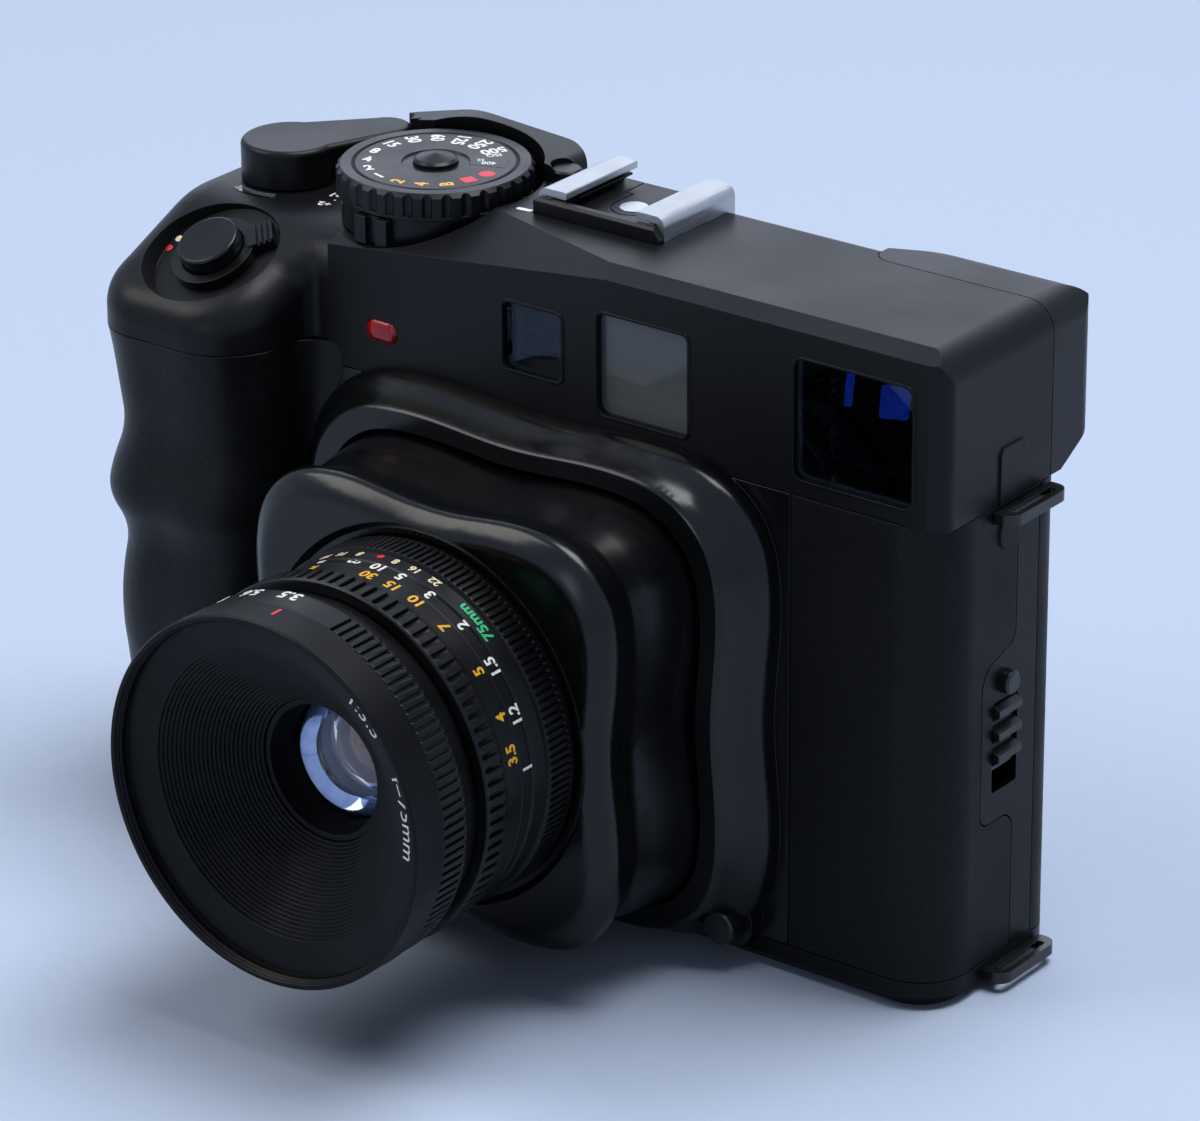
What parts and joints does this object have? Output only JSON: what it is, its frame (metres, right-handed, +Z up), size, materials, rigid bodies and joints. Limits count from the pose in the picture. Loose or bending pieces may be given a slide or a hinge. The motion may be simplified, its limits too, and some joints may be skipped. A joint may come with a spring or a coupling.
{
  "type": "medium format rangefinder camera",
  "caption": "Roll film rangefinder camera with a collapsible square lens mount, moulded grip, top controls, accessory shoe and hinged back.",
  "frame": {"origin": "mouth of the tripod socket in the base, under the lens axis", "axes": "+X to the finder end (left hand of the user), -Y the way the lens looks, +Z up"},
  "size_m": [0.1595, 0.1122, 0.1138],
  "materials": {
    "satin_black": "satin",
    "grip_skin": "matte",
    "black_anodised": "satin",
    "casting": "matte",
    "bright_steel": "satin",
    "coated_glass": "gloss",
    "frosted_window": "satin",
    "red_lamp": "gloss",
    "black_plastic": "matte",
    "bellows_cloth": "matte",
    "white_paint": "matte",
    "yellow_paint": "matte",
    "red_paint": "matte",
    "green_paint": "matte"
  },
  "bodies": {
    "camera_body": {"body_casting": "casting", "film_chambers": "casting", "grip_cover": "grip_skin", "front_cover": "satin_black", "side_cover": "satin_black", "latch_plate": "satin_black", "strap_lug_upper": "black_anodised", "strap_lug_lower": "black_anodised", "base_plate": "satin_black", "tripod_bush": "bright_steel", "batteries": "bright_steel", "top_cover": "satin_black", "finder_rear_cover": "satin_black", "eyepiece_ring": "black_plastic", "eyepiece_lens": "coated_glass", "finder_window": "coated_glass", "illumination_window": "frosted_window", "rangefinder_window": "coated_glass", "timer_lamp": "red_lamp", "finder_chassis": "casting", "finder_optics": "coated_glass", "shoe_base": "black_plastic", "shoe_contact": "bright_steel", "shoe_rails": "bright_steel", "counter_window": "coated_glass", "hinge_brackets": "bright_steel", "hinge_pin": "bright_steel", "bellows": "bellows_cloth"},
    "lens_mount": {"lens_collar": "satin_black", "mount_flange": "bright_steel", "lens_barrel": "black_anodised"},
    "focus_ring": {"focus_ring": "black_anodised"},
    "front_group": {"front_barrel": "black_anodised", "front_ring": "black_anodised", "front_cell": "black_anodised", "lens_elements": "coated_glass", "shutter_unit": "black_anodised", "iris_blades": "black_plastic"},
    "aperture_ring": {"aperture_ring": "black_anodised"},
    "shutter_dial": {"shutter_dial": "black_anodised"},
    "dial_cap": {"dial_cap": "black_anodised"},
    "compensation_ring": {"compensation_ring": "black_anodised"},
    "advance_lever": {"advance_lever": "black_anodised"},
    "take_up": {"take_up_spindle": "bright_steel", "take_up_spool": "black_plastic"},
    "counter_disc": {"counter_disc": "black_plastic"},
    "release_collar": {"release_collar": "black_anodised"},
    "release_button": {"release_button": "black_anodised"},
    "battery_check_button": {"battery_check_button": "black_anodised"},
    "collapse_button": {"collapse_button": "black_anodised"},
    "back_door": {"back_door": "satin_black", "pressure_springs": "bright_steel"},
    "pressure_plate": {"pressure_plate": "black_anodised"},
    "latch_slider": {"latch_slider": "black_plastic"},
    "latch_lock_button": {"latch_lock_button": "black_anodised"},
    "curtain_knob": {"curtain_knob": "black_anodised"},
    "battery_cap": {"battery_cap": "black_anodised"},
    "film_roller_left": {"film_roller_left": "bright_steel"},
    "film_roller_right": {"film_roller_right": "bright_steel"},
    "range_mirror_arm": {"range_mirror_arm": "casting"}
  },
  "joints": [
    {"name": "mount_slide", "type": "slide", "parent": "camera_body", "child": "lens_mount", "axis": [0, 1, 0], "range_m": [0, 0.017], "deforming": ["bellows"]},
    {"name": "focus_turn", "type": "hinge", "parent": "lens_mount", "child": "focus_ring", "pos_m": [0, 0, 0.043], "axis": [0, 1, 0], "range_deg": [-87.2, 5.6]},
    {"name": "focus_extension", "type": "slide", "parent": "lens_mount", "child": "front_group", "axis": [0, -1, 0], "range_m": [-0.0003, 0.005]},
    {"name": "aperture_turn", "type": "hinge", "parent": "front_group", "child": "aperture_ring", "pos_m": [0, 0, 0.043], "axis": [0, 1, 0], "range_deg": [0, 62]},
    {"name": "shutter_dial_turn", "type": "hinge", "parent": "camera_body", "child": "shutter_dial", "pos_m": [-0.0349, 0.0007, 0.1123], "axis": [0, 0, 1], "range_deg": [-165, 165]},
    {"name": "dial_cap_press", "type": "slide", "parent": "shutter_dial", "child": "dial_cap", "axis": [0, 0, -1], "range_m": [0, 0.0008]},
    {"name": "compensation_turn", "type": "hinge", "parent": "camera_body", "child": "compensation_ring", "pos_m": [-0.0349, 0.0007, 0.1028], "axis": [0, 0, 1], "range_deg": [-40, 40]},
    {"name": "advance_stroke", "type": "hinge", "parent": "camera_body", "child": "advance_lever", "pos_m": [-0.066, 0.0015, 0.1096], "axis": [0, 0, 1], "range_deg": [0, 185]},
    {"name": "take_up_turn", "type": "hinge", "parent": "camera_body", "child": "take_up", "pos_m": [-0.0525, -0.001, 0.0765], "axis": [0, 0, 1], "range_deg": [-360, 0]},
    {"name": "counter_turn", "type": "hinge", "parent": "camera_body", "child": "counter_disc", "pos_m": [-0.066, 0.0015, 0.1028], "axis": [0, 0, 1], "range_deg": [0, 15]},
    {"name": "release_collar_turn", "type": "hinge", "parent": "camera_body", "child": "release_collar", "pos_m": [-0.0628, -0.0209, 0.0961], "axis": [-0.0612, -0.481, 0.8746], "range_deg": [-30, 30]},
    {"name": "release_press", "type": "slide", "parent": "camera_body", "child": "release_button", "axis": [0.0612, 0.481, -0.8746], "range_m": [0, 0.0008]},
    {"name": "battery_check_press", "type": "slide", "parent": "camera_body", "child": "battery_check_button", "axis": [0, 0, -1], "range_m": [0, 0.001]},
    {"name": "collapse_press", "type": "slide", "parent": "camera_body", "child": "collapse_button", "axis": [0, 1, 0], "range_m": [0, 0.002]},
    {"name": "door_hinge", "type": "hinge", "parent": "camera_body", "child": "back_door", "pos_m": [-0.0716, 0.0152, 0.043], "axis": [0, 0, 1], "range_deg": [0, 100]},
    {"name": "pressure_plate_float", "type": "slide", "parent": "back_door", "child": "pressure_plate", "axis": [0, 1, 0], "range_m": [0, 0.0008], "deforming": ["pressure_springs"]},
    {"name": "latch_slide", "type": "slide", "parent": "camera_body", "child": "latch_slider", "axis": [0, 0, -1], "range_m": [0, 0.0032]},
    {"name": "latch_lock_press", "type": "slide", "parent": "camera_body", "child": "latch_lock_button", "axis": [-1, 0, 0], "range_m": [0, 0.0008]},
    {"name": "curtain_knob_turn", "type": "hinge", "parent": "camera_body", "child": "curtain_knob", "pos_m": [0.036, 0, 0], "axis": [0, 0, 1], "range_deg": [0, 180]},
    {"name": "battery_cap_turn", "type": "hinge", "parent": "camera_body", "child": "battery_cap", "pos_m": [-0.066, -0.0225, 0], "axis": [0, 0, 1], "range_deg": [0, 90]},
    {"name": "roller_left_turn", "type": "hinge", "parent": "camera_body", "child": "film_roller_left", "pos_m": [-0.0352, 0.0104, 0.043], "axis": [0, 0, 1], "continuous": true},
    {"name": "roller_right_turn", "type": "hinge", "parent": "camera_body", "child": "film_roller_right", "pos_m": [0.0352, 0.0104, 0.043], "axis": [0, 0, 1], "continuous": true},
    {"name": "range_mirror_turn", "type": "hinge", "parent": "camera_body", "child": "range_mirror_arm", "pos_m": [-0.002, 0.002, 0.0804], "axis": [0, 0, 1], "range_deg": [-4, 1]}
  ],
  "couplings": [
    {"joint": "focus_turn", "follows": "focus_extension", "rad_per_m": -303.69},
    {"joint": "range_mirror_turn", "follows": "focus_extension", "rad_per_m": -12.1},
    {"joint": "take_up_turn", "follows": "advance_stroke", "ratio": -1.9},
    {"joint": "counter_turn", "follows": "advance_stroke", "ratio": 0.08}
  ]
}
